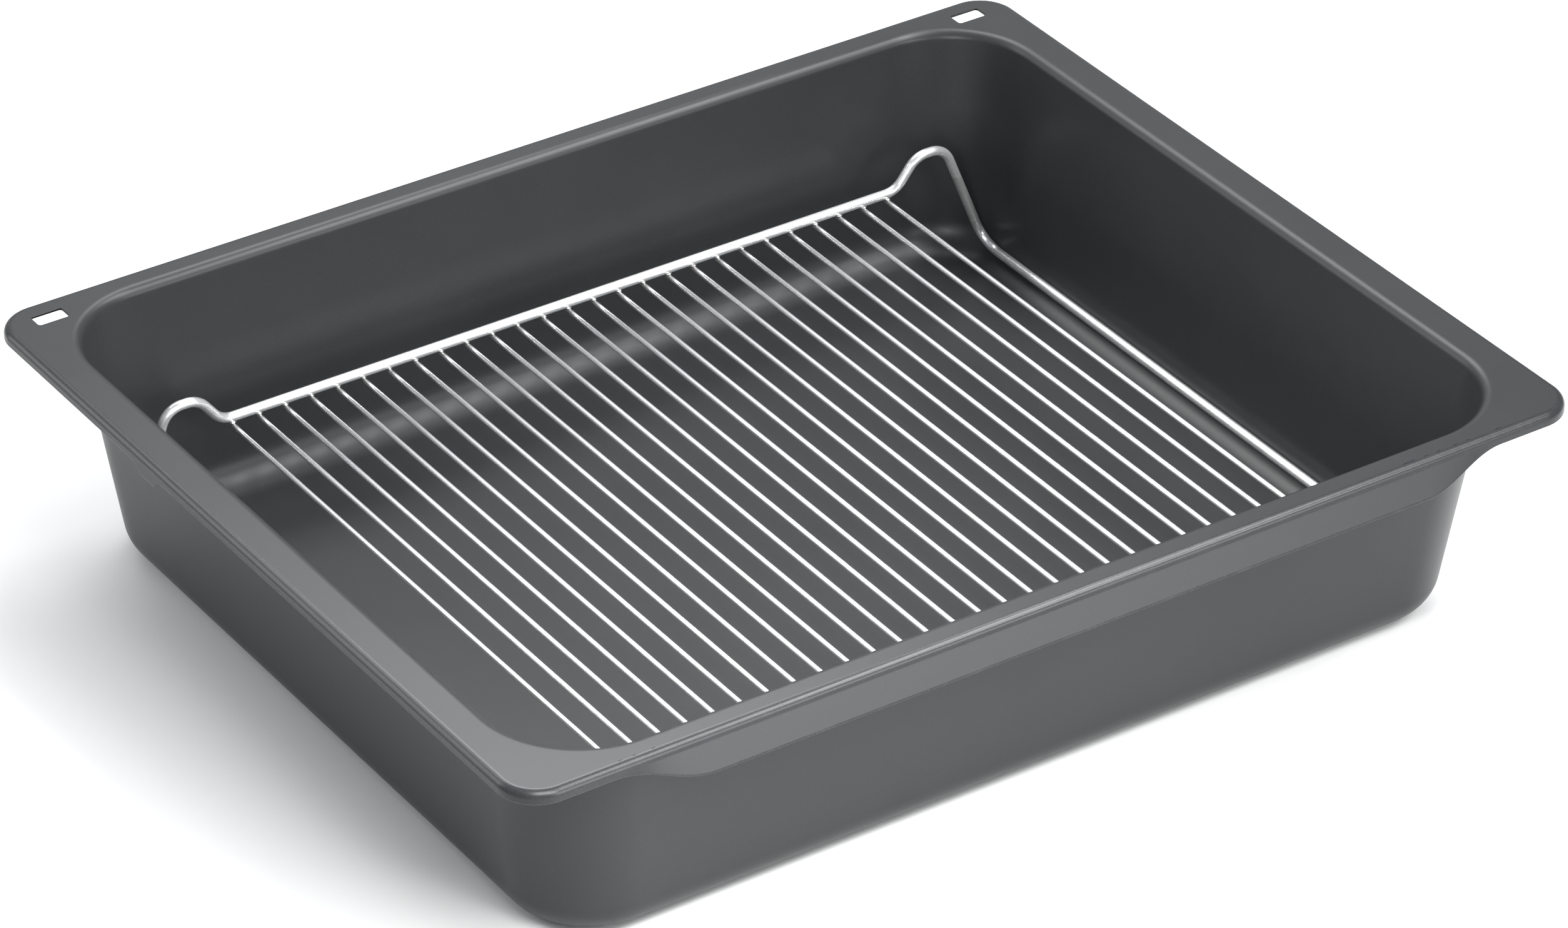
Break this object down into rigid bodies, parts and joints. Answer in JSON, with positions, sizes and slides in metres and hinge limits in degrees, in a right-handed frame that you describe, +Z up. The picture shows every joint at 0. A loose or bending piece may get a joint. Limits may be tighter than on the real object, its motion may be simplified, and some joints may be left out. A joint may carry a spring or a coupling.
{
  "type": "roasting pan with rack",
  "caption": "Deep enamelled oven roasting pan with a flat rim, front skirt and rim slots, holding a lift-out bright wire rack with corner arches.",
  "frame": {"origin": "middle of the pan's flat underside", "axes": "+X along the long front edge, +Y from the skirted front edge to the slotted back edge, +Z up"},
  "size_m": [0.455, 0.38, 0.092],
  "materials": {
    "enamel": "semi-gloss anthracite vitreous enamel on pressed steel",
    "wire": "bright chrome-plated drawn wire"
  },
  "bodies": {
    "pan": {"pan": "enamel"},
    "rack": {"rack_frame": "wire", "rack_bar_01": "wire", "rack_bar_02": "wire", "rack_bar_03": "wire", "rack_bar_04": "wire", "rack_bar_05": "wire", "rack_bar_06": "wire", "rack_bar_07": "wire", "rack_bar_08": "wire", "rack_bar_09": "wire", "rack_bar_10": "wire", "rack_bar_11": "wire", "rack_bar_12": "wire", "rack_bar_13": "wire", "rack_bar_14": "wire", "rack_bar_15": "wire", "rack_bar_16": "wire", "rack_bar_17": "wire", "rack_bar_18": "wire", "rack_bar_19": "wire", "rack_bar_20": "wire", "rack_bar_21": "wire", "rack_bar_22": "wire", "rack_bar_23": "wire", "rack_bar_24": "wire", "rack_bar_25": "wire", "rack_bar_26": "wire", "rack_bar_27": "wire"}
  },
  "joints": [
    {"name": "rack_lift", "type": "slide", "parent": "pan", "child": "rack", "axis": [0, 0, 1], "range_m": [0, 0.12]}
  ]
}
